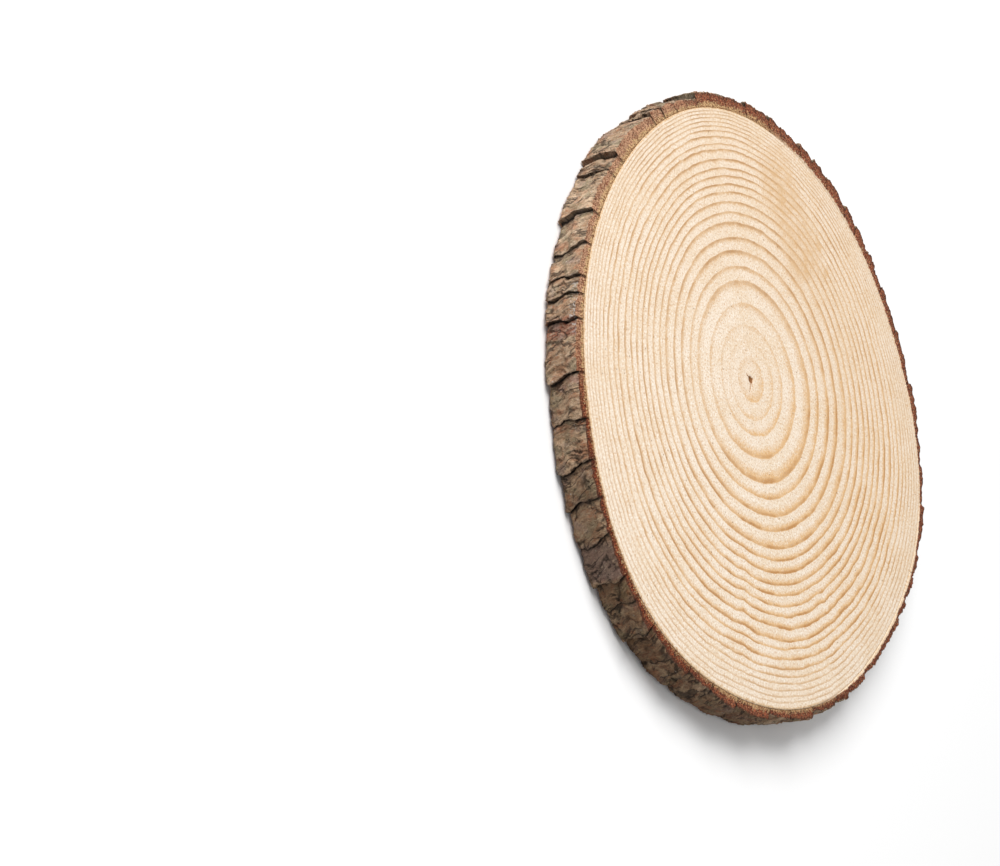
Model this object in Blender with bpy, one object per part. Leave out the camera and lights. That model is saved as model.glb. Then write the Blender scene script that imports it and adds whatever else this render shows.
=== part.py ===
"""A round slice of a conifer trunk with its bark on, lying on its back face.

Units are metres and +Z is up. The origin is the middle of the wood's underside,
which the slice rests on. Angles run from +X towards +Y.

The slice is a disc of wood in a ring of bark. Formulas give the shape of the growth
rings, which start round the pith and end as the wood's outline, the thickness of the
bark, and the plates and cracks of the bark's outside. The disc starts as a cylinder
and the bark as a torus, and the formulas place their vertices.
"""

import math
import random
from collections import namedtuple

import bmesh
import bpy
from mathutils import Vector, noise

# The sawn disc of wood
THICKNESS = 0.018
WOOD_RADIUS = 0.134
# Lobes of the wood's outline: their number, height, and the first one's angle in degrees
WOOD_LOBES = (
    (2, 0.0005, 22),
    (3, 0.0022, -9),
    (4, 0.0005, -14),
    (5, 0.0005, 3),
    (6, 0.0007, -10),
)
WOOD_COLUMNS = 70

# The pith, and the small pit that it leaves in both faces
PITH_PLACE = (-0.0087, 0.0117)
PITH_RADIUS = 0.0016
PITH_DEPTH = 0.0015
PITH_SIDES = 12

# Growth of each year in millimetres, from the pith out. The rings grow round the pith at
# first, and from CENTRED_SHARE of the radius on they lie midway between left and right.
YEAR_GROWTH = (
    10.3, 7.7, 6.9, 9.8, 10.9, 6.5, 7.6, 6.4, 7.2, 4.8, 5.1, 4.8, 4.0,
    4.2, 4.0, 4.7, 5.1, 2.9, 4.1, 3.3, 2.6, 2.5, 2.4, 2.2, 2.0,
)
CENTRED_SHARE = 0.8

# Every third ring is a shallow groove, where the saw wore the soft early wood
GROOVE_STEP = 3
GROOVE_DEPTH = 0.0004
GROOVE_HALF_WIDTH = 0.0009

# The bark's thickness, which is largest towards BARK_THICK_ANGLE
BARK_THICKNESS = 0.0056
BARK_SWING = 0.0018
BARK_OVAL = 0.0008
BARK_THICK_ANGLE = math.radians(80)
BARK_GAP = 0.0003

# The sawn bark shrinks below the wood's face as it dries, most of all at its rim
BARK_STEP = 0.0005
RIM_STEP = (0.0009, 0.0018)
RIM_WEAR = 0.0004

# Cracks between the plates of bark, in degrees: the deep ones of the left side, the plates'
# widths on the rest of the trunk, and how far a crack turns from the bottom to the top
LEFT_CRACKS = (
    126, 140.5, 145, 155, 162.5, 168, 171.5, 176, 186,
    193.5, 201.5, 207.5, 214.5, 221.5, 226, 232.5, 245,
)
PLATE_WIDTH = (4.5, 11)
CRACK_SLANT = (-1.8, -0.4)
CRACK_WAVE = math.radians(0.35)
CRACK_DEPTH = (0.0014, 0.0028)
LIP_SLOPE = math.radians(0.22)
ROOT_SLOPE = math.radians(0.45)

# A plate's outer face, measured from the bark's mean surface
PLATE_ROOT = (-0.0010, -0.0002)
PLATE_LIP = (0.0005, 0.0017)
PLATE_CREST = 0.0004
FLAKE_SHARE = 0.7
FLAKE_DROP = (0.0006, 0.0014)
FLAKE_EDGE = 0.13
ROUGHNESS = 0.00035
ROUGHNESS_SCALE = 160

# Columns across a plate, from its root to its lip, and the bands up the bark's side
PLATE_COLUMNS = (0, 0.35, 0.7, 1)
SIDE_BANDS = 8
SEED = 11

Crack = namedtuple("Crack", "angle slant phase depth")
Plate = namedtuple("Plate", "root lip flake_side flake_height flake_tilt flake_drop")


def clear_scene():
    """Remove every object of the open scene."""
    for item in list(bpy.data.objects):
        bpy.data.objects.remove(item, do_unlink=True)


def make_collection(name):
    """Add an empty collection to the scene."""
    group = bpy.data.collections.new(name)
    bpy.context.scene.collection.children.link(group)
    return group


def make_material(name, colour, roughness):
    """Make a plain Principled material."""
    material = bpy.data.materials.new(name)
    material.use_nodes = True
    shader = material.node_tree.nodes["Principled BSDF"]
    shader.inputs["Base Color"].default_value = (*colour, 1)
    shader.inputs["Roughness"].default_value = roughness
    shader.inputs["Metallic"].default_value = 0
    material.diffuse_color = (*colour, 1)
    return material


def make_object(name, shape, group):
    """Turn a bmesh into an object of the given collection."""
    mesh = bpy.data.meshes.new(name)
    shape.to_mesh(mesh)
    shape.free()
    item = bpy.data.objects.new(name, mesh)
    group.objects.link(item)
    return item


def lobes(angle):
    """How far the wood's outline stands out of its mean circle."""
    return sum(
        height * math.cos(count * (angle - math.radians(first)))
        for count, height, first in WOOD_LOBES
    )


def ring_point(share, angle):
    """Place on the face at a share of the trunk's radius and an angle round the ring's centre."""
    centred = min(share / CENTRED_SHARE, 1)
    centred = centred * centred * (3 - 2 * centred)
    radius = share * (WOOD_RADIUS + lobes(angle) * share ** 2)
    return (
        PITH_PLACE[0] * (1 - centred) + radius * math.cos(angle),
        PITH_PLACE[1] * (1 - share ** 4) + radius * math.sin(angle),
    )


def groove_lines():
    """List the disc's rings from its rim inwards, each as a share of the radius and a depth."""
    lines = [(1, 0)]
    for year in reversed(range(0, len(YEAR_GROWTH), GROOVE_STEP)):
        middle = sum(YEAR_GROWTH[:year + 1]) / 1000
        if middle + GROOVE_HALF_WIDTH < WOOD_RADIUS:
            for offset, depth in ((1, 0), (0, GROOVE_DEPTH), (-1, 0)):
                lines.append(((middle + offset * GROOVE_HALF_WIDTH) / WOOD_RADIUS, depth))
    return lines


def make_wood(group):
    """Build the disc of wood, with its bolder growth rings as grooves in both faces."""
    disc = bmesh.new()
    bmesh.ops.create_cone(
        disc, cap_ends=True, cap_tris=False, segments=WOOD_COLUMNS,
        radius1=WOOD_RADIUS, radius2=WOOD_RADIUS, depth=THICKNESS,
    )
    caps = [face for face in disc.faces if len(face.verts) == WOOD_COLUMNS]
    lines = groove_lines()
    loops = {cap: [list(cap.verts)] for cap in caps}
    for _ in lines[1:]:
        bmesh.ops.inset_individual(disc, faces=caps, thickness=WOOD_RADIUS / len(lines) / 2)
        for cap in caps:
            loops[cap].append(list(cap.verts))
    for cap in caps:
        on_top = cap.normal.z > 0
        for (share, depth), vertices in zip(lines, loops[cap]):
            height = THICKNESS - depth if on_top else depth
            for vertex in vertices:
                angle = math.atan2(vertex.co.y, vertex.co.x)
                vertex.co = (*ring_point(share, angle), height)
    disc.normal_update()
    wood = make_object("wood", disc, group)
    wood.data.materials.append(make_material("end_grain", (0.83, 0.66, 0.44), 0.6))
    return wood


def cut_pith(wood, cutters):
    """Cut the pith's pits. Each cutter's middle lies on a face, so it is twice a pit's size."""
    for name, height, tilt in (("pith_top", THICKNESS, math.pi), ("pith_under", 0, 0)):
        cone = bmesh.new()
        bmesh.ops.create_cone(
            cone, cap_ends=True, segments=PITH_SIDES,
            radius1=PITH_RADIUS * 2, radius2=0, depth=PITH_DEPTH * 2,
        )
        cutter = make_object(name, cone, cutters)
        cutter.location = (*PITH_PLACE, height)
        cutter.rotation_euler = (tilt, 0, 0)
        cutter.hide_render = True
        cutter.display_type = "WIRE"
        cut = wood.modifiers.new(name, "BOOLEAN")
        cut.operation = "DIFFERENCE"
        cut.object = cutter


def draw_cracks(draws):
    """Place the cracks round the trunk, the left side's first."""
    angles = list(LEFT_CRACKS)
    last = LEFT_CRACKS[0] + 360
    while last - angles[-1] > PLATE_WIDTH[0] + PLATE_WIDTH[1]:
        angles.append(angles[-1] + draws.uniform(*PLATE_WIDTH))
    angles.append((angles[-1] + last) / 2)
    return [
        Crack(
            angle=math.radians(angle),
            slant=math.radians(draws.uniform(*CRACK_SLANT)),
            phase=draws.uniform(0, math.tau),
            depth=draws.uniform(*CRACK_DEPTH),
        )
        for angle in angles
    ]


def draw_plates(draws, count):
    """Choose each plate's slope, and where its outer flake has broken off."""
    plates = []
    for _ in range(count):
        flaked = draws.random() < FLAKE_SHARE
        plates.append(Plate(
            root=draws.uniform(*PLATE_ROOT),
            lip=draws.uniform(*PLATE_LIP),
            flake_side=draws.choice((-1, 1)),
            flake_height=draws.uniform(0.25, 0.75),
            flake_tilt=draws.uniform(-0.6, 0.6),
            flake_drop=draws.uniform(*FLAKE_DROP) if flaked else 0,
        ))
    return plates


def bark_surface(angle):
    """Mean radius of the bark's outer surface."""
    turn = angle - BARK_THICK_ANGLE
    thickness = BARK_THICKNESS + BARK_SWING * math.cos(turn) + BARK_OVAL * math.cos(2 * turn)
    return WOOD_RADIUS + lobes(angle) + thickness


def crack_angle(crack, level):
    """Angle of a crack at a share of the thickness, along its slanted and wavy way up."""
    slant = crack.slant * (level - 0.5)
    wave = CRACK_WAVE * math.sin(math.tau * level + crack.phase)
    return crack.angle + slant + wave


def plate_relief(plate, across, level):
    """Height of a plate over the bark's mean surface."""
    slope = plate.root + (plate.lip - plate.root) * across
    crest = PLATE_CREST * math.sin(math.pi * across)
    past_edge = level - plate.flake_height - plate.flake_tilt * (across - 0.5)
    broken = min(max(plate.flake_side * past_edge / FLAKE_EDGE + 0.5, 0), 1)
    return slope + crest - plate.flake_drop * broken


def side_point(cracks, plates, column, level):
    """Angle and radius of the bark's outside at a column and a share of the thickness."""
    number, place = divmod(column, len(PLATE_COLUMNS) + 1)
    start = crack_angle(cracks[number], level)
    if place == 0:
        angle = start
        radius = bark_surface(angle) - cracks[number].depth
    else:
        end = crack_angle(cracks[(number + 1) % len(cracks)], level)
        if end < start:
            end += math.tau
        across = PLATE_COLUMNS[place - 1]
        angle = start + ROOT_SLOPE + (end - LIP_SLOPE - start - ROOT_SLOPE) * across
        radius = bark_surface(angle) + plate_relief(plates[number], across, level)
    spot = Vector((math.cos(angle) * radius, math.sin(angle) * radius, level * THICKNESS))
    radius += ROUGHNESS * noise.noise(spot * ROUGHNESS_SCALE)
    if level in (0, 1):
        radius -= RIM_WEAR
    return angle, radius


def sawn_points(angle, outer, rim_step):
    """Points across the sawn bark from its middle inwards: angle, radius, depth below the wood."""
    inner = WOOD_RADIUS + lobes(angle) + BARK_GAP
    return [
        (angle, (outer + inner) / 2, (rim_step + BARK_STEP) / 2),
        (angle, inner, BARK_STEP),
    ]


def bark_section(cracks, plates, column, under_step, top_step):
    """Points round one section of the bark: up its outside, inwards, down and outwards."""
    outside = [
        side_point(cracks, plates, column, band / SIDE_BANDS) for band in range(SIDE_BANDS + 1)
    ]
    points = [
        (angle, radius, min(max(band / SIDE_BANDS * THICKNESS, under_step), THICKNESS - top_step))
        for band, (angle, radius) in enumerate(outside)
    ]
    for angle, radius, step in sawn_points(*outside[-1], top_step):
        points.append((angle, radius, THICKNESS - step))
    points.extend(reversed(sawn_points(*outside[0], under_step)))
    return [(math.cos(a) * radius, math.sin(a) * radius, height) for a, radius, height in points]


def make_bark(group):
    """Build the ring of bark, as a torus whose sections follow the plates and cracks."""
    draws = random.Random(SEED)
    cracks = draw_cracks(draws)
    plates = draw_plates(draws, len(cracks))
    columns = len(cracks) * (len(PLATE_COLUMNS) + 1)
    sections = []
    for column in range(columns):
        steps = [draws.uniform(*RIM_STEP) for _ in ("under", "top")]
        sections.append(bark_section(cracks, plates, column, *steps))
    bpy.ops.mesh.primitive_torus_add(
        major_segments=columns, minor_segments=len(sections[0]),
        major_radius=WOOD_RADIUS, minor_radius=BARK_THICKNESS,
    )
    bark = bpy.context.object
    bark.name = "bark"
    bark.data.name = "bark"
    places = [point for section in sections for point in section]
    for vertex, place in zip(bark.data.vertices, places):
        vertex.co = place
    bark.data.materials.append(make_material("bark", (0.19, 0.13, 0.10), 0.9))
    bark.users_collection[0].objects.unlink(bark)
    group.objects.link(bark)


def main():
    clear_scene()
    group = make_collection("wood_slice")
    cutters = make_collection("cutters")
    cut_pith(make_wood(group), cutters)
    make_bark(group)


main()
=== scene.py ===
"""Looks of the wood slice: sawn wood with its growth rings, and bark with plates and cracks.

Sizes are in metres, and in millimetres where noise, marks and materials use them. +Z is up.
Angles run from +X towards +Y, round the trunk's middle.
"""

import math
import random
from collections import namedtuple

import bpy
from mathutils import Matrix, Vector, noise


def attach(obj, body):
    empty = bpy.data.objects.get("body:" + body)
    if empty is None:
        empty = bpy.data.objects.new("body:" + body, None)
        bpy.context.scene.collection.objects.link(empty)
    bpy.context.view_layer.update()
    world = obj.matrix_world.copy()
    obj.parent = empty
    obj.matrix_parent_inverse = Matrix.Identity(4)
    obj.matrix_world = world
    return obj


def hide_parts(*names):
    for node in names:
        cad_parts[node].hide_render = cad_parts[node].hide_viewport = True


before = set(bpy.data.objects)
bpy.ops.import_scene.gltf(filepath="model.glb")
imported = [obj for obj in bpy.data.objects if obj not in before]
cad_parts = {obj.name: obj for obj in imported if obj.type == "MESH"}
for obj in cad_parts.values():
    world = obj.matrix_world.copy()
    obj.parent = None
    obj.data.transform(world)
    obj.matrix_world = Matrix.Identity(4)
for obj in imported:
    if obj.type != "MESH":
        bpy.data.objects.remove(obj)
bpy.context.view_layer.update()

Kink = namedtuple("Kink", "angle width depth start end")
Smudge = namedtuple("Smudge", "x y reach")
Split = namedtuple("Split", "angle length")
Crack = namedtuple("Crack", "angle slant phase depth")
Plate = namedtuple("Plate", "root lip flake_side flake_height flake_tilt flake_drop")
Pattern = namedtuple("Pattern", "fibres grain leaf leafy checks shelves")

MM = 1000

# The slice, as the CAD model has it
THICKNESS = 0.018
WOOD_RADIUS = 0.134
WOOD_LOBES = (
    (2, 0.0005, 22),
    (3, 0.0022, -9),
    (4, 0.0005, -14),
    (5, 0.0005, 3),
    (6, 0.0007, -10),
)
PITH_PLACE = (-0.0087, 0.0117)
YEAR_GROWTH = (
    10.3, 7.7, 6.9, 9.8, 10.9, 6.5, 7.6, 6.4, 7.2, 4.8, 5.1, 4.8, 4.0,
    4.2, 4.0, 4.7, 5.1, 2.9, 4.1, 3.3, 2.6, 2.5, 2.4, 2.2, 2.0, 2.0,
)
CENTRED_SHARE = 0.8

# The pit at the pith, and the small splits from it, by angle and length
PIT_DEPTH = 0.0005
PIT_RADII = (0.0018, 0.0007)
SPLIT_DEPTH = 0.0003
SPLITS = (Split(150, 5.2), Split(296, 4.2), Split(266, 7.5), Split(20, 3.0))
RIM_DROP = 0.0001

# How dark each year's late wood is, and how broad it is beyond the rest
YEAR_TONE = (
    0.62, 0.45, 0.7, 0.75, 0.9, 0.8, 0.9, 0.95, 0.9, 0.9, 0.95, 0.9, 1.0,
    0.9, 0.95, 1.0, 0.95, 0.85, 0.95, 0.9, 0.85, 0.85, 0.85, 0.8, 0.75, 0.6,
)
YEAR_BREADTH = {0: 0.6, 3: 0.6, 4: 0.8, 8: 0.2, 10: 0.2}

# How dark the wood gets in the course of a year, where the late wood is narrow and where it is broad
NARROW_LATE = (
    (0.0, 0.45), (0.05, 0.1), (0.3, 0.0), (0.55, 0.08), (0.72, 0.42), (0.86, 0.9), (0.95, 1.0), (1.0, 0.75),
)
BROAD_LATE = (
    (0.0, 0.4), (0.05, 0.1), (0.4, 0.03), (0.56, 0.36), (0.74, 0.56), (0.86, 0.9), (0.95, 1.0), (1.0, 0.7),
)

# A year's growth near the pith and near the bark, and the kinks in the rings
YEAR_WIDTHS = (9.5, 2.4)
KINKS = (
    Kink(angle=259.5, width=3.6, depth=0.75, start=70, end=125),
    Kink(angle=299, width=2.6, depth=-0.5, start=85, end=118),
    Kink(angle=38, width=3.5, depth=-0.9, start=88, end=110),
)
KINK_FADE = 12
KINK_LEAN = 0.05
KINK_RADIUS = 100

# The browner band on the face, by its middle and the way that it runs, and the smudges in it
HAZE_PLACE = (28, 97)
HAZE_WAY = (0.53, -0.85)
SMUDGES = (Smudge(40, 76, 5), Smudge(52, 89, 4), Smudge(23, 104, 5), Smudge(58, 76, 3))

# The bark, as the CAD model has it
BARK_THICKNESS = 0.0056
BARK_SWING = 0.0018
BARK_OVAL = 0.0008
BARK_THICK_ANGLE = math.radians(80)
BARK_STEP = 0.0005
RIM_STEP = (0.0009, 0.0018)
LEFT_CRACKS = (
    126, 140.5, 145, 155, 162.5, 168, 171.5, 176, 186,
    193.5, 201.5, 207.5, 214.5, 221.5, 226, 232.5, 245,
)
PLATE_WIDTH = (4.5, 11)
CRACK_SLANT = (-1.8, -0.4)
CRACK_WAVE = math.radians(0.35)
CRACK_DEPTH = (0.0014, 0.0028)
ROOT_SLOPE = math.radians(0.45)
PLATE_ROOT = (-0.0010, -0.0002)
PLATE_LIP = (0.0005, 0.0017)
PLATE_CREST = 0.0004
FLAKE_SHARE = 0.7
FLAKE_DROP = (0.0006, 0.0014)
FLAKE_EDGE = 0.13
SEED = 11

# Finer forms of the bark
CRACK_RAGS = math.radians(0.22)
CRACK_FLOOR = 0.0004
LIP_REACH = 0.10
LIP_SWING = 0.30
UNDERCUT = 0.0006
UNDERCUT_TURN = math.radians(0.05)
TERRACE = 2.8
SCALE_SIZE = (11.0, 13.0)
CRUMBS = 0.00016
SWELL = 0.0013
DIP = 0.0015
WEAR = 0.0008
FRAY = 0.0005
RIM_INSET = 0.0004
RIM_RISE = 0.0002
INNER_SHARE = 0.6
SAWN_GRAIN = 0.00026
TUCK = 0.0001
BARK_RADIUS_MM = 140

# Numbers that keep the plates' chances apart
SCALY_CHANCE = (7.5, 0.5)
TONE_CHANCE = (2.5, 4.5)
RED_CHANCE = (9.5, 1.5)

# Stretches round the trunk: the middle, and how far off it a look ends and is all there, in degrees
UPPER_LEFT = (135, 70, 35)
LOWER_RIGHT = (-48, 120, 20)
TOP = (92, 65, 30)
BROAD_YEARS = (-20, 150, 60)
WARM_ANGLE = 58
LOW_ANGLE = -60
WOODY = (6, 82, 66)
SCALY = (226, 34, 22)
SWOLLEN = (8, 88, 60)
DIPPED = (115, 20, 8)
# Where painted shade darkens the bark's outside: most towards the lower left, and none near the sunny angle
WORN = (205, 75, 40)
PAINTED_SHADE_STRETCH = (242, 70, 12)
HALF_PAINTED_SHADE_STRETCH = (212, 30, 20)
SUNNY_ANGLE = 145
DEEPEST_SHADE_ANGLE = 240
RED_PLATE = (177.5, 2.2, 1.2)
MAUVE_PLATE = (218, 4, 2.5)
PALE_EDGE = (174, 6, 3)
THIN = (-34, 30, 12)
# Where the sawn bark gets painted shade and a warmer colour
SHADED_AND_WARM = (214, 44, 22)
FAIR = (150, 46, 26)
GOLD_LEFT = (138, 66, 40)
GOLD_BETWEEN = (220, 40, 25)
GOLD_BELOW = (268, 32, 14)

# Fineness of the two meshes
WOOD_COLUMNS = 480
HEART_RADII = (0.25, 0.6, 1, 1.4, 1.8, 2.3, 3, 3.8, 4.8, 6, 8)
WIDE_YEAR = 5
RIM_LINE = 0.0004
BARK_COLUMN = 0.00056
SIDE_BANDS = 38
SAWN_BANDS = 7

# The studio, and how bright its light makes a white surface that faces up
KEY_PLACE = (-1.1, 1.3, 1.6)
KEY_SIZE = 1.4
KEY_POWER = 63
WORLD_LEVEL = 0.48
FLOOR_REACH = 4
FLOOR_GREY = 0.93
LIGHT_LEVEL = 1.08

# The photograph's camera
LENS = 100
SENSOR = 36
CAMERA_PLACE = (-1.00203, -0.32142, 0.65245)
CAMERA_REACH = 20
FACE_TURN = math.radians(53)
FACE_RISE = math.radians(9)

# Sockets of two shader nodes that share a name with others on the node
VECTOR_SCALE = 3
MIX_SHARE, MIX_FIRST, MIX_SECOND, MIX_COLOUR = 0, 6, 7, 2

# Colours of painted shade, which darken what they multiply
PAINTED_SHADE_COLOUR = (0.33, 0.272, 0.205, 1)
SAWN_SHADE_COLOUR = (0.72, 0.56, 0.46, 1)


# Shapes that both pieces use

def smooth(value, low, high):
    """Rise smoothly from 0 at low to 1 at high, also where high is the smaller."""
    share = min(max((value - low) / (high - low), 0), 1)
    return share * share * (3 - 2 * share)


def mix(low, high, share):
    """Blend two numbers."""
    return low + (high - low) * share


def apart(angle, other):
    """Turn in degrees, with its sign, to an angle in radians from another one in degrees."""
    return (math.degrees(angle) - other + 180) % 360 - 180


def near(angle, middle, outside, inside):
    """Rise from 0 to 1 as an angle comes nearer to a middle, between two distances in degrees."""
    return smooth(abs(apart(angle, middle)), outside, inside)


def facing(angle, middle):
    """1 at a middle angle in degrees, falling to 0 on the other side of the trunk."""
    return 0.5 + 0.5 * math.cos(math.radians(apart(angle, middle)))


def lobes(angle):
    """How far the wood's outline stands out of its mean circle."""
    return sum(
        height * math.cos(count * (angle - math.radians(first)))
        for count, height, first in WOOD_LOBES
    )


def ring_point(share, angle):
    """Place on the face at a share of the trunk's radius and an angle round the ring's centre."""
    centred = smooth(share, 0, CENTRED_SHARE)
    radius = share * (WOOD_RADIUS + lobes(angle) * share ** 2)
    return (
        PITH_PLACE[0] * (1 - centred) + radius * math.cos(angle),
        PITH_PLACE[1] * (1 - share ** 4) + radius * math.sin(angle),
    )


def speckle(place, scale, detail=3):
    """Fractal noise from about -1 to 1 at a place in millimetres."""
    return noise.fractal(Vector(place) * scale, 1.0, 2.0, detail)


def spot_at(angle, radius, rise):
    """Place in millimetres at an angle, a radius in metres and a height in millimetres."""
    return (math.cos(angle) * radius * MM, math.sin(angle) * radius * MM, rise)


def make_piece(name, places, faces, hidden, marks, material, node):
    """Make a mesh piece that replaces a CAD node, with its marks as point attributes.

    The hidden faces are flat, so that they don't bend the shading of the faces beside them.
    """
    mesh = bpy.data.meshes.new(name)
    mesh.from_pydata(places, [], faces)
    for mark, values in marks.items():
        layer = mesh.attributes.new(mark, "FLOAT", "POINT")
        layer.data.foreach_set("value", values)
    mesh.polygons.foreach_set("use_smooth", [number not in hidden for number in range(len(faces))])
    mesh.materials.append(material)
    mesh.update()
    piece = bpy.data.objects.new(name, mesh)
    bpy.context.scene.collection.objects.link(piece)
    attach(piece, "root")
    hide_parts(node)


# Materials

def tint(red, green, blue):
    """Turn a colour of 0 to 255, as it looks in the studio's light, into a shader colour."""
    def linear(value):
        """Undo the screen's curve and the light's brightness."""
        value /= 255
        return (value / 12.92 if value <= 0.04045 else ((value + 0.055) / 1.055) ** 2.4) / LIGHT_LEVEL
    return (linear(red), linear(green), linear(blue), 1)


class Graph:
    """A material and short calls that add nodes to it."""

    def __init__(self, name, roughness, gloss):
        self.material = bpy.data.materials.new(name)
        self.material.use_nodes = True
        self.tree = self.material.node_tree
        self.shader = self.tree.nodes["Principled BSDF"]
        self.shader.inputs["Roughness"].default_value = roughness
        self.shader.inputs["Specular IOR Level"].default_value = gloss
        coordinates = self.tree.nodes.new("ShaderNodeTexCoord")
        self.spot = self.vector("SCALE", coordinates.outputs["Object"], scale=MM)

    def feed(self, socket, value):
        """Link a socket or set its value."""
        if isinstance(value, bpy.types.NodeSocket):
            self.tree.links.new(value, socket)
        else:
            socket.default_value = value

    def vector(self, operation, first, second=(0, 0, 0), scale=1.0):
        """Do vector arithmetic."""
        node = self.tree.nodes.new("ShaderNodeVectorMath")
        node.operation = operation
        self.feed(node.inputs[0], first)
        self.feed(node.inputs[1], second)
        node.inputs[VECTOR_SCALE].default_value = scale
        return node.outputs[0]

    def shifted(self, x, y, z):
        """The place on the piece, moved so that its noise is like no other's."""
        return self.vector("ADD", self.spot, (x, y, z))

    def rise(self):
        """Height over the floor in millimetres."""
        node = self.tree.nodes.new("ShaderNodeSeparateXYZ")
        self.feed(node.inputs[0], self.spot)
        return node.outputs["Z"]

    def sheet(self, x, y):
        """Place on a flat sheet."""
        node = self.tree.nodes.new("ShaderNodeCombineXYZ")
        self.feed(node.inputs["X"], x)
        self.feed(node.inputs["Y"], y)
        return node.outputs[0]

    def math(self, operation, first, second=0.0, clamp=False):
        """Do arithmetic."""
        node = self.tree.nodes.new("ShaderNodeMath")
        node.operation = operation
        node.use_clamp = clamp
        self.feed(node.inputs[0], first)
        self.feed(node.inputs[1], second)
        return node.outputs[0]

    def plus(self, first, second, clamp=False):
        """Add two values."""
        return self.math("ADD", first, second, clamp)

    def minus(self, first, second, clamp=False):
        """Take the second value from the first."""
        return self.math("SUBTRACT", first, second, clamp)

    def times(self, first, second):
        """Multiply two values."""
        return self.math("MULTIPLY", first, second)

    def most(self, first, second):
        """The greater of two values."""
        return self.math("MAXIMUM", first, second)

    def part(self, value):
        """What a value has beyond its whole number."""
        return self.math("FRACT", value)

    def sway(self, value, reach):
        """Turn noise of about 0.5 into noise of about 0, with a new reach."""
        return self.times(self.minus(value, 0.5), reach)

    def mark(self, name):
        """Read a point attribute of the mesh."""
        node = self.tree.nodes.new("ShaderNodeAttribute")
        node.attribute_name = name
        return node.outputs["Fac"]

    def noise(self, scale, detail=2.0, rough=0.5, place=None, warp=0.0, output="Fac"):
        """Fractal noise of about 0.5, with a scale per millimetre."""
        node = self.tree.nodes.new("ShaderNodeTexNoise")
        self.feed(node.inputs["Vector"], place or self.spot)
        node.inputs["Scale"].default_value = scale
        node.inputs["Detail"].default_value = detail
        node.inputs["Roughness"].default_value = rough
        node.inputs["Distortion"].default_value = warp
        return node.outputs[output]

    def cells(self, scale, feature="F1", place=None):
        """Distance from the middle or the edge of a cell, with a scale per millimetre."""
        node = self.tree.nodes.new("ShaderNodeTexVoronoi")
        node.feature = feature
        self.feed(node.inputs["Vector"], place or self.spot)
        node.inputs["Scale"].default_value = scale
        return node.outputs["Distance"]

    def span(self, value, low, high, start=0.0, end=1.0):
        """Map a value smoothly from low..high to start..end."""
        node = self.tree.nodes.new("ShaderNodeMapRange")
        node.interpolation_type = "SMOOTHSTEP"
        self.feed(node.inputs["Value"], value)
        node.inputs["From Min"].default_value = low
        node.inputs["From Max"].default_value = high
        node.inputs["To Min"].default_value = start
        node.inputs["To Max"].default_value = end
        return node.outputs["Result"]

    def ramp(self, value, stops):
        """Look a value up in a list of places and grey levels."""
        node = self.tree.nodes.new("ShaderNodeValToRGB")
        elements = node.color_ramp.elements
        for element, (place, level) in zip(elements, (stops[0], stops[-1])):
            element.position = place
            element.color = (level, level, level, 1)
        for place, level in stops[1:-1]:
            elements.new(place).color = (level, level, level, 1)
        self.feed(node.inputs["Fac"], value)
        return node.outputs["Color"]

    def blend(self, share, first, second, kind="MIX"):
        """Mix two colours."""
        node = self.tree.nodes.new("ShaderNodeMix")
        node.data_type = "RGBA"
        node.blend_type = kind
        self.feed(node.inputs[MIX_SHARE], share)
        self.feed(node.inputs[MIX_FIRST], first)
        self.feed(node.inputs[MIX_SECOND], second)
        return node.outputs[MIX_COLOUR]

    def paint(self, colour, *coats):
        """Lay tints over a colour, each by its share."""
        for share, coat in coats:
            colour = self.blend(share, colour, tint(*coat))
        return colour

    def bump(self, height, distance, strength):
        """Turn a height of 0 to 1 into a bumped normal."""
        node = self.tree.nodes.new("ShaderNodeBump")
        self.feed(node.inputs["Strength"], strength)
        node.inputs["Distance"].default_value = distance
        self.feed(node.inputs["Height"], height)
        return node.outputs["Normal"]

    def finish(self, colour, normal):
        """Give the shader its colour and normal."""
        self.feed(self.shader.inputs["Base Color"], colour)
        self.feed(self.shader.inputs["Normal"], normal)
        return self.material


def late_wood(graph, ragged):
    """How far a place has gone from the early wood, at 0, to the late wood's darkest, at about 1."""
    wobble = graph.sway(graph.noise(0.10, 3, 0.6), 1.5)
    offset = graph.times(graph.plus(wobble, ragged), graph.mark("pace"))
    place = graph.part(graph.plus(graph.mark("ring"), offset))
    narrow = graph.ramp(place, NARROW_LATE)
    broad = graph.ramp(place, BROAD_LATE)
    late = graph.blend(graph.mark("breadth"), narrow, broad)
    patches = graph.span(graph.noise(0.08, 3, 0.6), 0.35, 0.65, 0.68, 1.14)
    return graph.times(late, graph.times(patches, graph.mark("late")))


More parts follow.
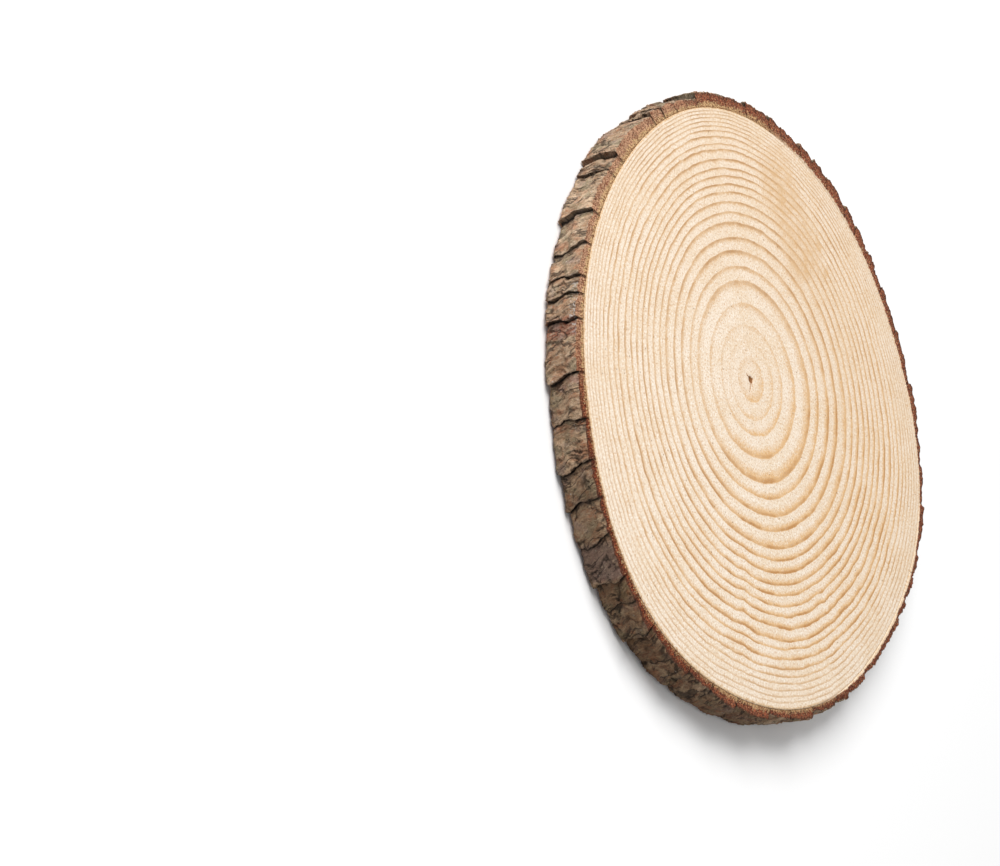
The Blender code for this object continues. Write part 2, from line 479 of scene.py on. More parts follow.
def wood_material():
    """Cream early wood, amber late wood, coarse grain and a few dark specks."""
    graph = Graph("end_grain", roughness=0.62, gloss=0.2)
    ragged = graph.sway(graph.noise(1.0, 2, 0.6), 0.6)
    late = late_wood(graph, ragged)
    haze = graph.mark("haze")
    amber = graph.mark("amber")

    cream = graph.span(graph.noise(0.05, 3), 0.35, 0.65)
    early = graph.blend(cream, tint(243, 227, 207), tint(238, 218, 192))
    soft_late = graph.blend(amber, tint(221, 191, 157), tint(230, 189, 138))
    hard_late = graph.blend(amber, tint(176, 136, 99), tint(190, 136, 80))
    colour = graph.blend(graph.span(late, 0.0, 0.55), early, soft_late)
    colour = graph.blend(graph.span(late, 0.45, 1.1), colour, hard_late)
    clouds = graph.span(graph.noise(0.3, 4), 0.25, 0.7, 0.35, 1)
    colour = graph.paint(colour, (graph.times(haze, clouds), (220, 182, 136)))

    grain = graph.span(graph.noise(1.0, 2, 0.8), 0.47, 0.66)
    faded = graph.span(graph.noise(0.7, 2), 0.42, 0.58)
    grain_colour = graph.blend(faded, tint(204, 156, 106), tint(206, 178, 148))
    colour = graph.blend(graph.times(grain, 0.68), colour, grain_colour)

    light_grain = graph.span(graph.noise(1.15, 2, 0.7), 0.50, 0.64)
    light_share = graph.minus(0.78, graph.most(haze, late), clamp=True)
    specks = graph.span(graph.cells(0.17), 0.045, 0.075, 0.7, 0.0)
    hollow = graph.plus(graph.mark("dark"), graph.times(ragged, 0.3))
    frayed = graph.plus(graph.mark("rim"), graph.sway(graph.noise(0.5, 4, 0.75), 1.8))
    colour = graph.paint(
        colour,
        (graph.times(light_grain, light_share), (253, 244, 231)),
        (specks, (140, 100, 62)),
        (graph.span(hollow, 0.05, 0.7, 0, 0.7), (196, 142, 92)),
        (graph.span(hollow, 0.45, 0.85), (136, 90, 50)),
        (graph.span(frayed, 0.5, 1.1, 0, 0.5), (222, 184, 132)),
        (graph.span(frayed, 1.0, 1.2, 0, 0.6), (158, 104, 62)),
    )

    relief = graph.plus(graph.times(late, 0.08), graph.times(grain, -0.6))
    return graph.finish(colour, graph.bump(relief, 0.00014, 0.6))


def bark_pattern(graph):
    """Patterns that both the colour and the relief of the plates follow."""
    # Coordinates laid along the cracks: across them, and up the trunk
    rise = graph.rise()
    along = graph.mark("along")
    laid = graph.sheet(graph.plus(along, graph.times(rise, 0.15)), graph.times(rise, 0.32))

    swirl = graph.noise(0.25, 4, place=laid, output="Color")
    bent = graph.vector("ADD", laid, graph.vector("SCALE", swirl, scale=9))
    border = graph.cells(0.17, "DISTANCE_TO_EDGE", place=bent)
    checked = graph.span(graph.noise(0.1, 2, 0.5, place=graph.shifted(3, 3, 80)), 0.42, 0.55)
    bends = graph.times(graph.noise(0.22, 4, 0.65, place=laid), 7.0)
    return Pattern(
        fibres=graph.noise(0.8, 5, 0.75, place=laid, warp=0.6),
        grain=graph.noise(1.3, 4, 0.8),
        leaf=graph.part(graph.plus(graph.times(along, 0.55), bends)),
        leafy=graph.span(graph.noise(0.16, 3, 0.6, place=graph.shifted(20, 60, 0)), 0.4, 0.58),
        # Fine cracks between flakes, which the plate colour fills with painted shade
        checks=graph.times(graph.span(border, 0.02, 0.08, 1, 0), checked),
        shelves=graph.span(graph.noise(0.45, 4, 0.7, place=laid, warp=1.0), 0.46, 0.54),
    )


def plate_colour(graph, pattern):
    """Colour of the bark's outside: grey-brown plates, with painted shade in the cracks, under the lips and
    towards the lower left, and painted highlights on the lips.
    """
    tone = graph.mark("tone")
    painted_shade = graph.mark("painted_shade")
    blotch = graph.span(graph.noise(0.2, 4, 0.65), 0.34, 0.60)
    rust = graph.span(graph.noise(0.17, 4, 0.6, warp=0.5), 0.5, 0.64, 0, 0.65)
    moss = graph.span(graph.noise(0.11, 3, 0.6, place=graph.shifted(90, 0, 40)), 0.52, 0.62, 0, 0.6)
    red = graph.times(graph.mark("red"), graph.span(pattern.grain, 0.3, 0.6, 0.4, 0.9))
    mauve = graph.span(graph.noise(0.13, 3, 0.5, place=graph.shifted(0, 70, 9)), 0.56, 0.68, 0, 0.5)
    plate = graph.paint(
        graph.blend(blotch, tint(202, 157, 121), tint(252, 218, 181)),
        (graph.times(tone, 0.42), (158, 121, 94)),
        (rust, (204, 134, 96)),
        (moss, (172, 162, 130)),
        (red, (186, 108, 82)),
        (graph.most(mauve, graph.mark("mauve")), (200, 172, 164)),
    )

    # Painted shade: where it is strong, the fibres are calmer and a shelf pattern is darker
    calm_in_shade = graph.minus(1.0, graph.times(painted_shade, 0.35))
    light_fibre = graph.times(graph.span(pattern.fibres, 0.51, 0.62, 0.0, 0.5), calm_in_shade)
    dark_fibre = graph.times(graph.span(pattern.fibres, 0.48, 0.38, 0.0, 0.45), calm_in_shade)
    # Painted highlights on the lips of the fine terraces, and painted shade at their feet
    leaf_lip_highlight = graph.times(graph.span(pattern.leaf, 0.7, 0.96), pattern.leafy)
    leaf_foot_shade = graph.times(graph.span(pattern.leaf, 0.16, 0.0), pattern.leafy)
    shelf_shade = graph.times(pattern.shelves, graph.times(painted_shade, 0.3))
    spots = graph.span(graph.cells(0.22), 0.06, 0.10, 0.8, 0.0)
    crumbs = graph.span(graph.noise(0.8, 3, 0.7), 0.5, 0.6)
    pale = graph.most(spots, graph.times(graph.mark("pale"), crumbs))
    plate = graph.paint(
        plate,
        (light_fibre, (246, 222, 194)),
        (dark_fibre, (100, 72, 54)),
        (graph.times(leaf_lip_highlight, 0.45), (240, 216, 188)),
        (graph.times(leaf_foot_shade, 0.5), (74, 52, 39)),
        (graph.span(pattern.grain, 0.45, 0.36, 0.0, 0.45), (74, 52, 39)),
        (shelf_shade, (104, 80, 64)),
        # Painted shade in the fine cracks between flakes
        (graph.times(pattern.checks, 0.75), (50, 36, 28)),
        # Painted highlight along the plates' lips and the terraces' lips
        (graph.times(graph.mark("lip"), 0.5), (208, 184, 160)),
        (pale, (228, 217, 207)),
    )

    # Painted shade: the plates are multiplied darker towards the lower left, more on some plates than on
    # others
    uneven_shade = graph.plus(0.52, graph.times(tone, 0.62), clamp=True)
    plate = graph.blend(graph.times(painted_shade, uneven_shade), plate, PAINTED_SHADE_COLOUR, kind="MULTIPLY")
    # Painted shade in the cracks, under the lips, at the terraces' feet and between scales
    return graph.paint(plate, (graph.mark("gap"), (30, 22, 17)))


def sawn_colour(graph, pale_wood):
    """Colour of the sawn bark: reddish, with a golden fringe on the left, wood at the right, and painted
    shade with a warmer colour on the lower left.
    """
    shade_and_warmth = graph.mark("shade_and_warmth")
    gold = graph.mark("gold")
    grain = graph.noise(1.35, 3, 0.75)
    light = graph.span(grain, 0.42, 0.58)
    ragged = graph.plus(graph.mark("inward"), graph.sway(grain, 0.7))
    patches = graph.noise(0.3, 3, 0.6, place=graph.shifted(7, 7, 7))
    sawn = graph.blend(light, tint(96, 40, 26), tint(206, 120, 82))
    sawn = graph.paint(sawn, (graph.span(patches, 0.5, 0.38, 0, 0.45), (96, 58, 44)))
    fair = graph.blend(light, tint(162, 98, 68), tint(254, 208, 168))
    sawn = graph.blend(graph.times(graph.mark("fair"), 0.75), sawn, fair)
    # Painted shade: the sawn bark is multiplied darker and warmer on the lower left
    sawn = graph.blend(shade_and_warmth, sawn, SAWN_SHADE_COLOUR, kind="MULTIPLY")
    sawn = graph.paint(sawn, (graph.times(graph.span(ragged, 0.55, 0.85, 0, 0.6), shade_and_warmth), (150, 78, 38)))

    flecks = graph.span(graph.noise(0.85, 3, 0.75, place=graph.shifted(50, 0, 3)), 0.50, 0.57)
    flecks = graph.times(flecks, graph.span(ragged, 0.4, 0.7, 0.15, 1.0))
    fleck_colour = graph.blend(graph.span(ragged, 0.4, 0.7), tint(222, 168, 138), tint(250, 206, 146))
    sawn = graph.blend(graph.times(flecks, gold), sawn, fleck_colour)
    fringe = graph.times(graph.span(ragged, 0.64, 0.84, 0, 0.9), gold)
    fringe_colour = graph.blend(graph.span(grain, 0.42, 0.56), tint(158, 90, 52), tint(255, 212, 156))
    sawn = graph.blend(fringe, sawn, fringe_colour)

    sparks = graph.span(graph.noise(1.5, 1, 0.5, place=graph.shifted(9, 40, 3)), 0.62, 0.68)
    pits = graph.span(graph.noise(1.15, 2, 0.6, place=graph.shifted(0, 0, 33)), 0.4, 0.3, 0, 0.85)
    outer = graph.minus(graph.span(ragged, 0.26, 0.0, 0, 0.7), graph.mark("fair"), clamp=True)
    sawn = graph.paint(
        sawn,
        (graph.times(sparks, graph.span(ragged, 0.2, 0.7, 0.4, 1.0)), (250, 216, 160)),
        (pits, (58, 35, 26)),
        (outer, (88, 58, 44)),
    )
    wood_grain = graph.span(graph.noise(1.0, 2, 0.8), 0.46, 0.64)
    return graph.blend(pale_wood, sawn, graph.blend(wood_grain, tint(243, 222, 194), tint(218, 180, 138)))


def bark_material():
    """Grey-brown plates over dark cracks, and the reddish sawn edge."""
    graph = Graph("bark", roughness=0.85, gloss=0.2)
    pattern = bark_pattern(graph)
    inward = graph.plus(graph.mark("inward"), graph.sway(graph.noise(0.4, 4, 0.7), 0.35))
    pale_wood = graph.times(graph.span(inward, 0.76, 0.93), graph.mark("woody"))
    cut = graph.span(graph.plus(graph.mark("sawn"), graph.sway(pattern.grain, 1.2)), 0.5, 0.9)
    colour = graph.blend(cut, plate_colour(graph, pattern), sawn_colour(graph, pale_wood))

    height = graph.plus(graph.times(pattern.fibres, 0.9), graph.times(pattern.grain, 0.9))
    height = graph.plus(height, graph.times(graph.times(pattern.leaf, pattern.leafy), 0.35))
    height = graph.plus(height, graph.times(pattern.checks, -0.5))
    height = graph.plus(height, graph.times(pattern.shelves, -0.25))
    strength = graph.minus(1.0, graph.times(pale_wood, graph.mark("sawn")), clamp=True)
    return graph.finish(colour, graph.bump(height, 0.0014, strength))


# The wood

def wood_lines():
    """List the mesh's rings from the pith out: share of the radius and ring number there."""
    lines = [(radius / MM / WOOD_RADIUS, radius / YEAR_GROWTH[0]) for radius in HEART_RADII]
    outside = 0
    for year, growth in enumerate(YEAR_GROWTH):
        for part in (0.25, 0.5, 0.75, 1) if growth > WIDE_YEAR else (0.5, 1):
            radius = outside + growth * part
            if radius > HEART_RADII[-1]:
                lines.append((radius / MM / WOOD_RADIUS, year + part))
        outside += growth
    last = lines.pop()
    lines.append((1 - RIM_LINE / WOOD_RADIUS, last[1] - RIM_LINE * MM / YEAR_GROWTH[-1]))
    lines.append((1, last[1]))
    return lines


def ring_drift(place, radius, angle):
    """How far a ring strays from its circle."""
    drift = 0.8 * speckle(place, 0.022, 2) + 0.22 * speckle(place, 0.09, 2)
    for kink in KINKS:
        middle = kink.angle + KINK_LEAN * (radius - KINK_RADIUS)
        notch = max(0, 1 - abs(apart(angle, middle)) / kink.width)
        begun = smooth(radius, kink.start, kink.start + KINK_FADE)
        lasting = smooth(radius, kink.end, kink.end - KINK_FADE)
        drift += kink.depth * notch * begun * lasting
    return drift


def late_tone(number, radius, angle, haze):
    """How dark the late wood is in a ring."""
    year = min(max(math.ceil(number) - 1, 0), len(YEAR_TONE) - 1)
    lower_right = near(angle, *LOWER_RIGHT)
    tone = YEAR_TONE[year] * mix(0.95, 1.08, facing(angle, LOW_ANGLE))
    tone *= mix(1, mix(0.8, 1.15, near(angle, *UPPER_LEFT)), smooth(radius, 112, 130))
    tone *= 1 + 0.32 * near(angle, *TOP) * smooth(radius, 20, 50)
    tone *= mix(1, 0.9, haze)
    tone *= mix(mix(0.55, 0.9, lower_right), mix(0.85, 1, lower_right), smooth(radius, 25, 60))
    breadth = 0.75 * lower_right * smooth(radius, 125, 105)
    breadth = min(1, breadth + YEAR_BREADTH.get(year, 0) * near(angle, *BROAD_YEARS))
    return tone, breadth


def face_haze(place):
    """How brown the band on the face is at a place, and how dark its smudges are."""
    off_x = place[0] - HAZE_PLACE[0]
    off_y = place[1] - HAZE_PLACE[1]
    along = HAZE_WAY[0] * off_x + HAZE_WAY[1] * off_y
    across = HAZE_WAY[0] * off_y - HAZE_WAY[1] * off_x
    haze = smooth(abs(across), 26, 8) * smooth(abs(along), 48, 22)
    spot = 0
    for smudge in SMUDGES:
        off = math.hypot(place[0] - smudge.x, (place[1] - smudge.y) * 0.6)
        off += 2.5 * speckle(place, 0.25, 3)
        spot = max(spot, smooth(off, smudge.reach, smudge.reach * 0.3))
    return haze, spot


def pith_dark(place, radius, angle):
    """How far a place lies in the pith or in one of the splits from it."""
    dark = smooth(radius + 0.5 * speckle(place, 0.6), 2.1, 0.9)
    for split in SPLITS:
        bent = split.angle + 9 * speckle((radius, split.angle, 0), 0.8)
        off = math.radians(abs(apart(angle, bent))) * radius
        dark = max(dark, smooth(off, 0.5, 0.1) * smooth(radius, split.length, split.length * 0.5) * 0.8)
    return dark


def ring_marks(share, number, angle):
    """Marks of the wood at a share of the radius, a ring number and an angle."""
    x, y = ring_point(share, angle)
    place = (x * MM, y * MM, 0)
    radius = share * WOOD_RADIUS * MM
    pace = 1 / mix(*YEAR_WIDTHS, smooth(share, 0.1, 1.0))
    haze, spot = face_haze(place)
    tone, breadth = late_tone(number, radius, angle, haze)
    warmth = 0.34 * facing(angle, WARM_ANGLE) * smooth(radius, 10, 70)
    heart = smooth(radius, 10.5, 8) * smooth(radius, 2, 7.5)
    return {
        "ring": number + ring_drift(place, radius, angle) * pace * smooth(radius, 4, 20),
        "pace": pace,
        "late": tone,
        "amber": mix(0.3, 1, near(angle, *LOWER_RIGHT)) * smooth(radius, 134, 112),
        "breadth": breadth,
        "haze": max(haze * 0.74, spot, heart * 0.36, warmth, 0.2 * smooth(radius, 45, 15)),
        "dark": pith_dark(place, radius, angle),
        "rim": smooth(share, 0.984, 0.998) * (1 - near(angle, *WOODY)),
    }


def disc_faces(lines):
    """Join the points of both sawn faces, and last of all the wall between them."""
    faces = []
    side = 1 + lines * WOOD_COLUMNS
    for start, on_top in ((0, True), (side, False)):
        for column in range(WOOD_COLUMNS):
            after = (column + 1) % WOOD_COLUMNS
            cells = [(start, start + 1 + column, start + 1 + after)]
            for line in range(lines - 1):
                inner = start + 1 + line * WOOD_COLUMNS
                outer = inner + WOOD_COLUMNS
                cells.append((inner + column, outer + column, outer + after, inner + after))
            faces.extend(cells if on_top else [tuple(reversed(cell)) for cell in cells])
    rim = 1 + (lines - 1) * WOOD_COLUMNS
    for column in range(WOOD_COLUMNS):
        after = (column + 1) % WOOD_COLUMNS
        faces.append((rim + after, rim + column, side + rim + column, side + rim + after))
    return faces


def make_wood():
    """Build both sawn faces and the hidden wall between them."""
    lines = wood_lines()
    middle = ring_marks(0, 0, 0)
    marks = {name: [] for name in middle}
    places = []
    for on_top in (True, False):
        places.append((*PITH_PLACE, THICKNESS - PIT_DEPTH if on_top else PIT_DEPTH))
        for name, value in middle.items():
            marks[name].append(value)
        for share, number in lines:
            for column in range(WOOD_COLUMNS):
                angle = math.tau * column / WOOD_COLUMNS
                found = ring_marks(share, number, angle)
                depth = PIT_DEPTH * smooth(share * WOOD_RADIUS, *PIT_RADII)
                depth += SPLIT_DEPTH * found["dark"]
                depth += RIM_DROP if share == 1 else 0
                places.append((*ring_point(share, angle), THICKNESS - depth if on_top else depth))
                for name, value in found.items():
                    marks[name].append(value)
    faces = disc_faces(len(lines))
    hidden = range(len(faces) - WOOD_COLUMNS, len(faces))
    make_piece("wood_grain", places, faces, hidden, marks, wood_material(), "wood")


# The bark

def draw_cracks(draws):
    """Place the cracks round the trunk, the left side's first."""
    angles = list(LEFT_CRACKS)
    last = LEFT_CRACKS[0] + 360
    while last - angles[-1] > PLATE_WIDTH[0] + PLATE_WIDTH[1]:
        angles.append(angles[-1] + draws.uniform(*PLATE_WIDTH))
    angles.append((angles[-1] + last) / 2)
    return [
        Crack(
            angle=math.radians(angle),
            slant=math.radians(draws.uniform(*CRACK_SLANT)),
            phase=draws.uniform(0, math.tau),
            depth=draws.uniform(*CRACK_DEPTH),
        )
        for angle in angles
    ]


def draw_plates(draws, count):
    """Choose each plate's slope, and where its outer flake has broken off."""
    plates = []
    for _ in range(count):
        flaked = draws.random() < FLAKE_SHARE
        plates.append(Plate(
            root=draws.uniform(*PLATE_ROOT),
            lip=draws.uniform(*PLATE_LIP),
            flake_side=draws.choice((-1, 1)),
            flake_height=draws.uniform(0.25, 0.75),
            flake_tilt=draws.uniform(-0.6, 0.6),
            flake_drop=draws.uniform(*FLAKE_DROP) if flaked else 0,
        ))
    return plates


def plate_chance(number, kind):
    """A plate's own number from 0 to 1."""
    return noise.cell(Vector((number + 0.5, *kind)))


def near_edges(level, width):
    """Rise from 0 to 1 towards both sawn edges, within a share of the thickness."""
    return max(smooth(level, 1 - width, 1.0), smooth(level, width, 0))


def bark_surface(angle):
    """Mean radius of the bark's outer surface."""
    turn = angle - BARK_THICK_ANGLE
    thickness = BARK_THICKNESS + BARK_SWING * math.cos(turn) + BARK_OVAL * math.cos(2 * turn)
    return WOOD_RADIUS + lobes(angle) + thickness


def crack_angle(crack, level):
    """Angle of a crack at a share of the thickness, along its slanted, wavy and ragged way up."""
    slant = crack.slant * (level - 0.5)
    wave = CRACK_WAVE * math.sin(math.tau * level + crack.phase)
    ragged = speckle((level * (THICKNESS * MM), crack.phase * 40, crack.angle * 90), 0.45, 4)
    return crack.angle + slant + wave + CRACK_RAGS * ragged


def plate_relief(plate, across, level):
    """Height of a plate over the bark's mean surface, as the CAD model has it."""
    slope = plate.root + (plate.lip - plate.root) * across
    crest = PLATE_CREST * math.sin(math.pi * across)
    past_edge = level - plate.flake_height - plate.flake_tilt * (across - 0.5)
    broken = min(max(plate.flake_side * past_edge / FLAKE_EDGE + 0.5, 0), 1)
    return slope + crest - plate.flake_drop * broken


def plate_detail(number, run, level, scaly):
    """Height of the fine flakes on a plate, and how far a place is on a lip, for a painted highlight, in a
    gap, for painted shade, and pale.

    The flakes are terraces across the plate, and round scales where it is scaly.
    """
    rise = level * THICKNESS * MM
    shift = number * 37.1
    warp = 1.1 * speckle((run * 0.7 + shift, rise * 0.5, 3), 0.22, 2)
    warp += 0.35 * speckle((run + shift, rise * 0.7, 9), 0.9, 3)
    steps = run / TERRACE + warp
    part = steps - math.floor(steps)
    size = 0.5 + 0.5 * noise.cell(Vector((math.floor(steps) + 0.5, number + 0.5, 0.5)))
    terrace = 1.05 * size * (part ** 1.2 - 0.6)
    # Painted highlight on each terrace's lip, and painted shade at its foot
    lip = smooth(part, 0.75, 1.0) * size
    foot_shade = smooth(part, 0.22, 0.0) * size * 0.75 * smooth(run, 1.0, 2.0)

    bend = Vector((
        run / SCALE_SIZE[0] + shift + 0.25 * speckle((run + shift, rise, 21), 0.3, 4),
        rise / SCALE_SIZE[1] + 0.25 * speckle((run + shift, rise, 51), 0.3, 4),
        number * 1.7,
    ))
    (nearest, second, *_), (seat, *_) = noise.voronoi(bend)
    open_here = smooth(speckle((run + shift, rise, 77), 0.12, 2), -0.25, 0.15)
    border = smooth(second - nearest, 0.11, 0.02) * open_here
    stand = noise.cell(seat * 3.7)
    scale = 0.5 * (stand - 0.2) - 0.45 * border + 0.5 * terrace

    height = mix(terrace, scale, scaly)
    height += 0.10 * speckle((run + shift, rise * 0.25, 5), 1.1, 2)
    # Painted shade at the terraces' feet and in the borders between scales
    gap = max(foot_shade * mix(1, 0.5, scaly), border * scaly * 0.9)
    return height / MM, lip * mix(1, 0.5, scaly), gap, mix(size, 0.5 + 0.5 * stand, scaly)


def side_columns(cracks):
    """List the columns round the trunk: plate, place across it and the name of its kind."""
    columns = []
    for number, crack in enumerate(cracks):
        after = cracks[(number + 1) % len(cracks)].angle
        width = (after - crack.angle) % math.tau * bark_surface(crack.angle)
        count = max(5, round(width / BARK_COLUMN))
        columns.extend((number, step / count, "plate") for step in range(count + 1))
        columns.append((number, 1, "under"))
        columns.append((number, 1, "gap"))
    return columns


def weathered(angle, radius, level):
    """Radius of the bark's outside with its crumbs, swell, dip and worn edges."""
    spot = spot_at(angle, radius, level * (THICKNESS * MM))
    worn = mix(0.25, 1, near(angle, *WORN)) + 0.8 * speckle(spot, 0.35, 3)
    radius += CRUMBS * speckle(spot, 0.55, 4)
    radius += SWELL * near(angle, *SWOLLEN)
    radius -= DIP * near(angle, *DIPPED)
    radius -= WEAR * max(worn, 0) * near_edges(level, 0.14) ** 2
    return radius


def side_looks(number, angle, level):
    """Marks of the bark's outside that go by the angle: painted shade, and red, mauve and pale patches of
    the bark's own colour.
    """
    # Painted shade: darkest towards the lower left, and gone near the sunny angle
    turned = max(near(angle, *PAINTED_SHADE_STRETCH), 0.42 * near(angle, *HALF_PAINTED_SHADE_STRETCH))
    painted_shade = mix(0.08, 1.0, turned) * smooth(abs(apart(angle, SUNNY_ANGLE)), 10, 32)
    red_at_random = len(LEFT_CRACKS) < number - 1 and plate_chance(number, RED_CHANCE) > 0.8
    return {
        "painted_shade": painted_shade - 0.15 * smooth(apart(angle, DEEPEST_SHADE_ANGLE), 2, 14),
        "red": max(near(angle, *RED_PLATE), 0.6 if red_at_random else 0),
        "mauve": 0.8 * near(angle, *MAUVE_PLATE),
        "pale": near(angle, *PALE_EDGE) * smooth(level, 0.78, 0.95),
    }


def side_point(cracks, plates, column, level):
    """Angle, radius and marks of the bark's outside at a column and a share of the height."""
    number, across, kind = column
    crack = cracks[number]
    following = cracks[(number + 1) % len(cracks)]
    start = crack_angle(crack, level)
    end = crack_angle(following, level)
    if end < start:
        end += math.tau
    rise = level * (THICKNESS * MM)
    stretch = 0.5 + 0.5 * speckle((rise, number * 9, 2), 0.5, 3)
    reach = math.radians(LIP_REACH + LIP_SWING * stretch)
    reach *= smooth(level, -0.05, 0.15) * smooth(level, 1.05, 0.85)
    root = start + ROOT_SLOPE
    tip = end + reach
    angle = root + (tip - root) * across
    run = (angle - root) * WOOD_RADIUS * MM
    to_tip = (1 - across) * (tip - root) * BARK_RADIUS_MM

    scaly = 0.85 * near(crack.angle, *SCALY)
    scaly = max(scaly, 0.7 if plate_chance(number, SCALY_CHANCE) > 0.7 else 0.0)
    height, lip, foot_shade, size = plate_detail(number, run, level, scaly)
    radius = bark_surface(angle) + plate_relief(plates[number], across, level)
    radius += height * smooth(across, 0, 0.08)
    # gap: painted shade in the crack and at the terraces' feet
    marks = {
        "gap": max(smooth(run, 0.8, 0.0) * 0.6, foot_shade),
        # lip: a painted highlight along the plate's edge and the terraces' lips
        "lip": max(smooth(to_tip, 0.8, 0.0), lip * 0.8),
        "tone": mix(0.5 + 0.5 * plate_chance(number, TONE_CHANCE), size, 0.5),
        "along": number * 53 + run,
    }
    # The point under the lip and the crack's floor are filled with painted shade
    if kind == "under":
        angle = end - UNDERCUT_TURN
        radius -= UNDERCUT
        marks["gap"], marks["lip"] = 0.45, 0
    elif kind == "gap":
        angle = end
        depth = (following.depth + CRACK_FLOOR) * mix(1, 0.45, near_edges(level, 0.16))
        radius = bark_surface(angle) - depth
        marks["gap"], marks["lip"] = 1, 0

    return angle, weathered(angle, radius, level), {**marks, **side_looks(number, angle, level)}


def rim_depth(angle, radius, top):
    """How far the bark's rim lies below the wood's face."""
    share = 0.5 + 0.7 * speckle(spot_at(angle, radius, 50 if top else 0), 0.16, 3)
    return mix(*RIM_STEP, min(max(share, 0), 1))


def sawn_place(angle, rim_radius, step, share, top):
    """Place on the sawn bark at a share of the way from the rim to the wood."""
    radius = mix(rim_radius, WOOD_RADIUS + lobes(angle) - TUCK, share)
    depth = mix(step - RIM_RISE, BARK_STEP * INNER_SHARE, smooth(share, 0, 1))
    rough = speckle(spot_at(angle, radius, 70 if top else 10), 0.8, 3)
    depth += SAWN_GRAIN * rough * math.sin(math.pi * share)
    depth *= 1 - 0.9 * near(angle, *WOODY) * smooth(share, 0.2, 0.62)
    return math.cos(angle) * radius, math.sin(angle) * radius, THICKNESS - depth if top else depth


def sawn_marks(rim_marks, angle, share):
    """Marks of the sawn bark at a share of the way from the rim to the wood."""
    # Painted shade on the lower left, where the sawn bark is also warmer
    shade_and_warmth = near(angle, *SHADED_AND_WARM)
    gold = max(
        near(angle, *GOLD_LEFT),
        0.9 * near(angle, *GOLD_BELOW),
        0.4 * near(angle, *GOLD_BETWEEN),
    )
    return {
        **rim_marks,
        # The cracks' painted shade fades out across the sawn edge
        "gap": rim_marks["gap"] * (1 - smooth(share, 0, 0.2)),
        "sawn": 1,
        "inward": share - 0.2 * shade_and_warmth * (1 - share) + 0.18 * near(angle, *THIN),
        "gold": gold,
        "woody": near(angle, *WOODY),
        "fair": near(angle, *FAIR),
        "shade_and_warmth": shade_and_warmth,
    }


def loop_faces(columns, rows):
    """Join columns that stand round the trunk, each of them a closed loop of points."""
    faces = []
    for column in range(columns):
        here = column * rows
        after = (column + 1) % columns * rows
        for row in range(rows):
            above = (row + 1) % rows
            faces.append((here + row, after + row, after + above, here + above))
    return faces


def make_bark():
    """Build the ring of bark: its outside, both sawn edges and the wall against the wood."""
    draws = random.Random(SEED)
    cracks = draw_cracks(draws)
    plates = draw_plates(draws, len(cracks))
    columns = side_columns(cracks)
    names = (
        "gap", "lip", "tone", "painted_shade", "along", "red", "mauve", "pale",
        "sawn", "inward", "gold", "fair", "shade_and_warmth", "woody",
    )
    marks = {name: [] for name in names}
    places = []

    def add(place, found):
        """Add a point with its marks, which are 0 where it has none."""
        places.append(place)
        for name in names:
            marks[name].append(found.get(name, 0))

    for column_number, column in enumerate(columns):
        side = [
            side_point(cracks, plates, column, band / SIDE_BANDS) for band in range(SIDE_BANDS + 1)
        ]
        under_step = rim_depth(side[0][0], side[0][1], False)
        top_step = rim_depth(side[-1][0], side[-1][1], True)
        for band, (angle, radius, found) in enumerate(side):
            if band in (0, SIDE_BANDS):
                radius += FRAY * speckle((column_number * 0.62, band, 3), 0.6, 4)
            height = mix(under_step, THICKNESS - top_step, band / SIDE_BANDS)
            add((math.cos(angle) * radius, math.sin(angle) * radius, height), found)
        shares = [band / (SAWN_BANDS - 1) for band in range(SAWN_BANDS)]
        for top in (True, False):
            angle, rim_radius, found = side[-1] if top else side[0]
            step = top_step if top else under_step
            for share in shares if top else reversed(shares):
                place = sawn_place(angle, rim_radius - RIM_INSET, step, share, top)
                add(place, sawn_marks(found, angle, share))

    rows = SIDE_BANDS + 1 + 2 * SAWN_BANDS
    faces = loop_faces(len(columns), rows)
    hidden = range(SIDE_BANDS + SAWN_BANDS, len(faces), rows)
    make_piece("bark_plates", places, faces, hidden, marks, bark_material(), "bark")


# The floor, the light and the camera

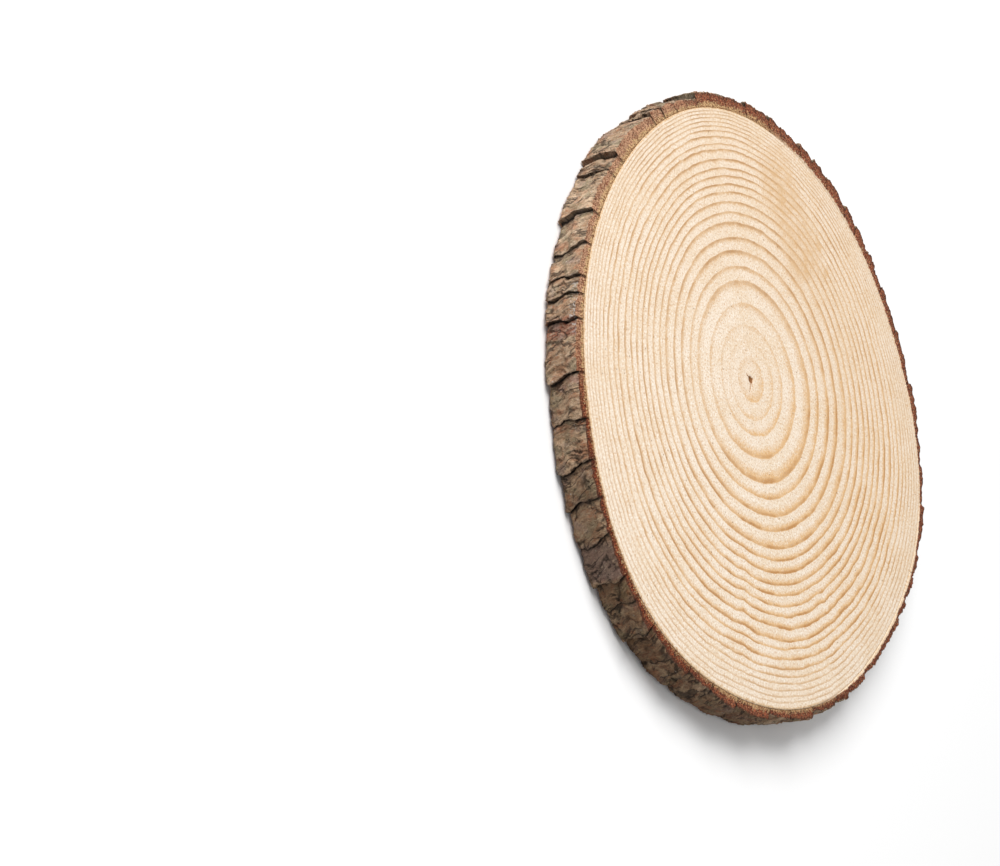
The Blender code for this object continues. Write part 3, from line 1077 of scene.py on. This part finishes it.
def make_floor():
    """Lay a plain pale floor."""
    mesh = bpy.data.meshes.new("floor")
    corners = [(x * FLOOR_REACH, y * FLOOR_REACH, 0) for x, y in ((-1, -1), (1, -1), (1, 1), (-1, 1))]
    mesh.from_pydata(corners, [], [(0, 1, 2, 3)])
    graph = Graph("floor", roughness=0.9, gloss=0.0)
    graph.shader.inputs["Base Color"].default_value = (FLOOR_GREY, FLOOR_GREY, FLOOR_GREY, 1)
    mesh.materials.append(graph.material)
    floor = bpy.data.objects.new("floor", mesh)
    bpy.context.scene.collection.objects.link(floor)


def make_light():
    """Hang a square area light that faces the slice."""
    lamp = bpy.data.lights.new("key", "AREA")
    lamp.size = KEY_SIZE
    lamp.energy = KEY_POWER
    item = bpy.data.objects.new("key", lamp)
    item.location = KEY_PLACE
    item.rotation_euler = Vector(KEY_PLACE).to_track_quat("Z", "Y").to_euler()
    bpy.context.scene.collection.objects.link(item)


def make_world():
    """Light the scene evenly from all round."""
    world = bpy.data.worlds.new("studio")
    world.use_nodes = True
    background = world.node_tree.nodes["Background"]
    background.inputs["Color"].default_value = (1, 1, 1, 1)
    background.inputs["Strength"].default_value = WORLD_LEVEL
    bpy.context.scene.world = world


def make_camera():
    """Stand where the photograph was taken."""
    out = Vector((
        math.sin(FACE_TURN) * math.cos(FACE_RISE),
        math.sin(FACE_RISE),
        math.cos(FACE_TURN) * math.cos(FACE_RISE),
    ))
    up = Vector((0, out.z, -out.y)).normalized()
    turn = Matrix((up.cross(out), up, out))
    camera = bpy.data.objects.new("camera", bpy.data.cameras.new("camera"))
    camera.data.lens = LENS
    camera.data.sensor_fit = "HORIZONTAL"
    camera.data.sensor_width = SENSOR
    camera.data.clip_end = CAMERA_REACH
    camera.matrix_world = Matrix.Translation(CAMERA_PLACE) @ turn.to_4x4()
    bpy.context.scene.collection.objects.link(camera)
    bpy.context.scene.camera = camera


make_wood()
make_bark()
make_floor()
make_world()
make_light()
make_camera()
bpy.context.scene.view_settings.view_transform = "Standard"
